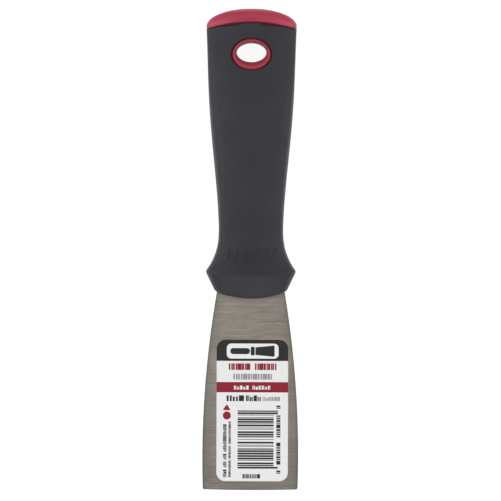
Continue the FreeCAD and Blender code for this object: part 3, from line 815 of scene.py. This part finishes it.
def steel_material():
    """Steel ground across the blade, with long and short scratches, faint clouds and a darker
    tone toward the sheared sides, and painted shade that darkens it toward the tip."""
    shader = Shader("blade_steel")
    shader.set(Metallic=1.0)
    coarse = shader.noise(2000, 4.0, 0.7, (0.025, 1.0, 0.3))
    fine = shader.noise(6500, 3.0, 0.7, (0.05, 1.0, 0.3))
    clouds = shader.noise(60, 3.0, 0.55, (-0.6, 1.0, 1.0))
    streaks = shader.add(shader.multiply(coarse, 0.5), shader.multiply(fine, 0.5))
    tone = shader.add(shader.multiply(streaks, 0.7), shader.multiply(clouds, 0.3))
    darker, lighter, edge = (0.32, 0.292, 0.25), (0.61, 0.555, 0.485), (0.12, 0.125, 0.115)
    ground = shader.mix(shader.ramp(tone, 0.33, 0.67), darker, lighter)
    # distance in from the arc of the nearer side
    x, y = shader.axis("X"), shader.axis("Y")
    past_widest = shader.subtract(y, BLADE_LOW.y + BLADE_WIDEST)
    taper = shader.math("DIVIDE", shader.square(past_widest), 2 * BLADE_SIDE_RADIUS)
    from_side = shader.subtract(shader.subtract(BLADE_HIGH.x, taper), shader.math("ABSOLUTE", x))
    near_side = shader.ramp(from_side, 0.0, 5.0 * MM, 0.2, 0.0)
    at_side = shader.ramp(from_side, 0.2 * MM, 1.2 * MM, 0.3, 0.0)
    # painted shade: darker toward the tip, where the blade reflects a dimmer part of the studio
    tip_painted_shade = shader.ramp(y, BLADE_LOW.y, BLADE_LOW.y + 55 * MM, 0.22, 0.0)
    colour = shader.mix(shader.add(shader.add(near_side, at_side), tip_painted_shade), ground, edge)
    rough = shader.ramp(streaks, 0.35, 0.65, 0.34, 0.46)
    shader.connect(Base_Color=colour, Roughness=rough, Normal=shader.bump(streaks, 0.02 * MM, 0.3))
    return shader.material


def paper_material():
    """Coated white paper."""
    shader = Shader("label_paper")
    shader.set(Specular_IOR_Level=0.4)
    fibres = shader.noise(700, 4.0, 0.6)
    colour = shader.mix(shader.ramp(fibres, 0.3, 0.7), (0.73, 0.73, 0.725), (0.77, 0.77, 0.765))
    rough = shader.ramp(fibres, 0.3, 0.7, 0.42, 0.5)
    shader.connect(Base_Color=colour, Roughness=rough, Normal=shader.bump(fibres, 0.01 * MM, 0.2))
    return shader.material


def ink_material(name, thin, full):
    """Printed ink, a little uneven where it lies thinner on the paper."""
    shader = Shader("ink_" + name)
    shader.set(Specular_IOR_Level=0.25)
    screen = shader.noise(2600, 3.0, 0.6)
    colour = shader.mix(shader.ramp(screen, 0.3, 0.6), thin, full)
    shader.connect(Base_Color=colour, Roughness=shader.ramp(screen, 0.3, 0.7, 0.38, 0.5))
    return shader.material


def floor_material():
    """A bright white sweep that glows a little, so shadows on it stay faint."""
    shader = Shader("studio_floor")
    shader.set(Base_Color=(0.25, 0.25, 0.25, 1), Roughness=0.9, Specular_IOR_Level=0.0,
               Emission_Color=(1, 1, 1, 1), Emission_Strength=0.9)
    return shader.material


# ---------------------------------------------------------------- studio

FLOOR_HALF = 3.0
FLOOR_GAP = 0.02 * MM

# soft boxes that face the knife: name, position, width and height, power in watts
SOFT_BOXES = (
    ("left_box", (-1.0, 0.2, 0.85), (1.0, 1.4), 11.9),
    ("right_box", (1.0, 0.2, 0.85), (1.0, 1.4), 10.0),
    ("foot_box", (0.0, -1.15, 0.9), (1.4, 0.7), 9.0),
    ("head_box", (0.0, 1.25, 0.9), (1.2, 0.5), 1.2),
)
WORLD_STRENGTH = 0.2

# a long lens straight above, which sees a square field at the height of the knife's middle
LENS, SENSOR = 200.0, 36.0
FIELD = 199.13 * MM
CAMERA_X, CAMERA_Y = -0.16 * MM, -0.38 * MM
CAMERA_TURN = math.radians(0.19)


def make_floor():
    mesh = bpy.data.meshes.new("floor")
    corners = [(x * FLOOR_HALF, y * FLOOR_HALF, 0) for x, y in ((-1, -1), (1, -1), (1, 1), (-1, 1))]
    mesh.from_pydata(corners, [], [(0, 1, 2, 3)])
    mesh.materials.append(floor_material())
    floor = bpy.data.objects.new("floor", mesh)
    floor.location.z = CAD_LOW.z - FLOOR_GAP
    bpy.context.scene.collection.objects.link(floor)


def make_lights():
    world = bpy.data.worlds.new("studio")
    bpy.context.scene.world = world
    world.use_nodes = True
    background = world.node_tree.nodes["Background"]
    background.inputs["Color"].default_value = (1.0, 1.0, 1.0, 1)
    background.inputs["Strength"].default_value = WORLD_STRENGTH
    for name, position, size, power in SOFT_BOXES:
        lamp = bpy.data.lights.new(name, "AREA")
        lamp.shape = "RECTANGLE"
        lamp.size, lamp.size_y = size
        lamp.energy = power
        box = bpy.data.objects.new(name, lamp)
        box.location = position
        box.rotation_euler = (-Vector(position)).to_track_quat("-Z", "Y").to_euler()
        bpy.context.scene.collection.objects.link(box)


def make_camera():
    """Straight above, as a product shot is taken, with the whole knife in a square frame."""
    camera_data = bpy.data.cameras.new("camera")
    camera_data.lens = LENS
    camera_data.sensor_width = SENSOR
    camera_data.sensor_fit = "HORIZONTAL"
    camera_data.clip_start = 0.05
    camera = bpy.data.objects.new("camera", camera_data)
    camera.location = (CAMERA_X, CAMERA_Y, MID_Z + FIELD * LENS / SENSOR)
    camera.rotation_euler = (0, 0, CAMERA_TURN)
    bpy.context.scene.collection.objects.link(camera)
    bpy.context.scene.camera = camera
    bpy.context.scene.view_settings.view_transform = "Standard"


# ---------------------------------------------------------------- the knife

def dress_node(name, material):
    """Gives a CAD node that stays in view its own material."""
    node = frame["nodes"][name]
    node.data.materials.clear()
    node.data.materials.append(material)


make_camera()
make_lights()
make_floor()
grip_skin, core_skin = grip_material(), core_material()
grip = make_grip(grip_skin)
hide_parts("grip")
cap = make_cap(core_skin)
make_rim(core_skin)
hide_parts("handle_core")
make_ribs(grip_skin)
dress_node("blade", steel_material())
dress_node("front_label", paper_material())
make_print({
    "black": ink_material("black", (0.034, 0.032, 0.034), (0.020, 0.019, 0.020)),
    "red": ink_material("red", (0.27, 0.020, 0.038), (0.22, 0.012, 0.026)),
    "grey": ink_material("grey", (0.34, 0.34, 0.34), (0.26, 0.26, 0.26)),
    "white": ink_material("white", (0.72, 0.72, 0.72), (0.77, 0.77, 0.77)),
})
